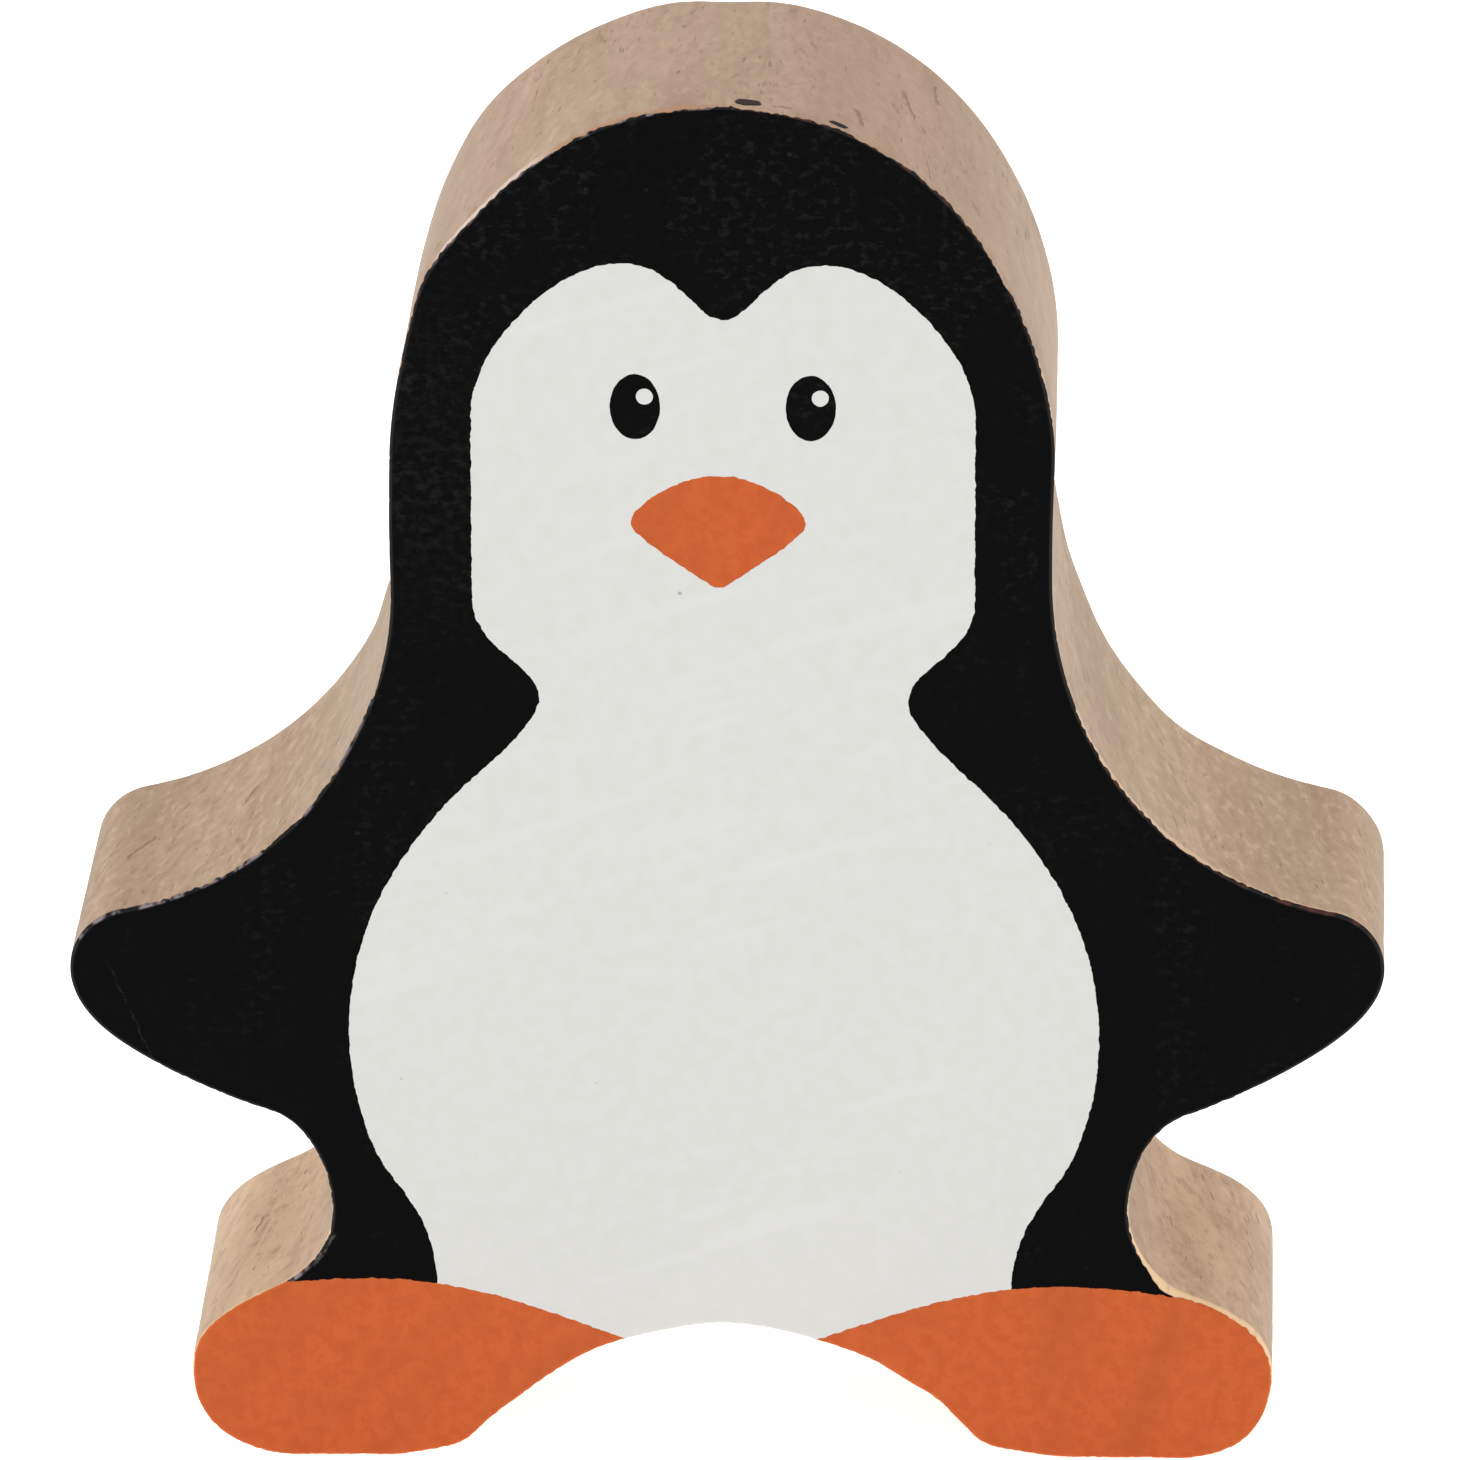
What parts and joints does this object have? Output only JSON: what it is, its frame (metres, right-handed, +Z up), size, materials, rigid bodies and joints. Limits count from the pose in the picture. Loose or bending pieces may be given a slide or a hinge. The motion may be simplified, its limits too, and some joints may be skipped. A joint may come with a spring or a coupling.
{
  "type": "wooden penguin figure",
  "caption": "Flat standing penguin figure sawn from one thick wooden board, with a printed front: black coat, white face and belly, orange beak and feet.",
  "frame": {"origin": "on the surface the soles stand on, midway between the wing tips and midway between the printed face and the back", "axes": "+Z up through the crown, the printed face looks along -Y, +X to the right of someone facing it"},
  "size_m": [0.055, 0.015, 0.06],
  "materials": {
    "wood": "bare, fine-sanded pale hardwood",
    "black_ink": "satin screen ink",
    "white_ink": "matt screen ink",
    "orange_ink": "satin screen ink"
  },
  "bodies": {
    "root": {"wood_body": "wood", "black_coat": "black_ink", "white_front": "white_ink", "beak": "orange_ink", "left_foot": "orange_ink", "right_foot": "orange_ink", "left_eye": "black_ink", "right_eye": "black_ink", "left_eye_glint": "white_ink", "right_eye_glint": "white_ink"}
  },
  "joints": []
}
